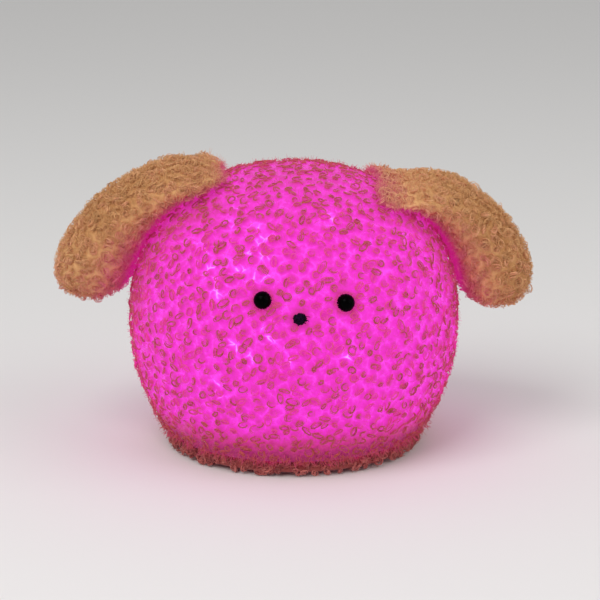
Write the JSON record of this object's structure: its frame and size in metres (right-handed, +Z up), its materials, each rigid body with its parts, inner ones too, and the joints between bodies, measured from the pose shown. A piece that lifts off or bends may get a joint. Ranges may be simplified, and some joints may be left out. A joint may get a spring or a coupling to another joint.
{
  "type": "plush night light",
  "caption": "Ball-shaped puppy night light in curly fleece, with floppy ears, bead eyes, a stitched nose and a soft silicone lamp with a push button inside.",
  "frame": {"origin": "on the surface it stands on, under the middle of the ball", "axes": "+Z up, -Y the way the face looks, +X to the right of a person facing it, from ear to ear"},
  "size_m": [0.2197, 0.1558, 0.1359],
  "materials": {
    "lit_fleece": "curly fleece, lit from inside",
    "hem_fleece": "curly fleece, unlit",
    "ear_fleece": "curly fleece",
    "elastic": "woven elastic",
    "black_gloss": "polished",
    "frosted_plastic": "frosted",
    "thread": "embroidery thread",
    "silicone": "satin, lit from inside",
    "white_plastic": "moulded, finely textured",
    "foot_rubber": "matt",
    "steel": "plated",
    "white_board": "solder mask",
    "led_resin": "clear resin, lit",
    "green_board": "solder mask",
    "cell_wrap": "shrink wrap",
    "grey_foam": "open cell foam",
    "red_wire": "insulation",
    "black_wire": "insulation",
    "white_wire": "insulation"
  },
  "bodies": {
    "root": {"coat_body": "lit_fleece", "coat_hem": "hem_fleece", "hem_elastic": "elastic", "eye_right": "black_gloss", "eye_left": "black_gloss", "eye_washer_right": "frosted_plastic", "eye_washer_left": "frosted_plastic", "nose_knot": "thread", "silicone_shade": "silicone", "base_tray": "white_plastic", "foot_pad_1": "foot_rubber", "foot_pad_2": "foot_rubber", "foot_pad_3": "foot_rubber", "foot_pad_4": "foot_rubber", "case_screw_1": "steel", "case_screw_2": "steel", "case_screw_3": "steel", "case_screw_4": "steel", "chassis_plate": "white_plastic", "led_board": "white_board", "led_1": "led_resin", "led_2": "led_resin", "led_3": "led_resin", "led_4": "led_resin", "led_5": "led_resin", "led_6": "led_resin", "led_board_screw_1": "steel", "led_board_screw_2": "steel", "diffuser_dome": "frosted_plastic", "control_board": "green_board", "control_board_screw_1": "steel", "control_board_screw_2": "steel", "tact_switch": "black_gloss", "charging_socket": "steel", "charge_light_pipe": "frosted_plastic", "tap_sensor": "steel", "battery_cell": "cell_wrap", "battery_foam": "grey_foam", "battery_lead_red": "red_wire", "battery_lead_black": "black_wire", "led_lead": "white_wire"},
    "right_ear": {"ear_right": "ear_fleece"},
    "left_ear": {"ear_left": "ear_fleece"},
    "button": {"power_button": "white_plastic", "switch_plunger": "black_gloss"}
  },
  "joints": [
    {"name": "right_ear_flop", "type": "hinge", "parent": "root", "child": "right_ear", "pos_m": [0.04377, 0, 0.1274], "axis": [0, -1, 0], "range_deg": [0, 80]},
    {"name": "left_ear_flop", "type": "hinge", "parent": "root", "child": "left_ear", "pos_m": [-0.04411, 0, 0.13059], "axis": [0, 1, 0], "range_deg": [0, 80]},
    {"name": "power_button_press", "type": "slide", "parent": "root", "child": "button", "axis": [0, 0, 1], "range_m": [0, 0.0006], "stiffness_N_per_m": 2500}
  ]
}
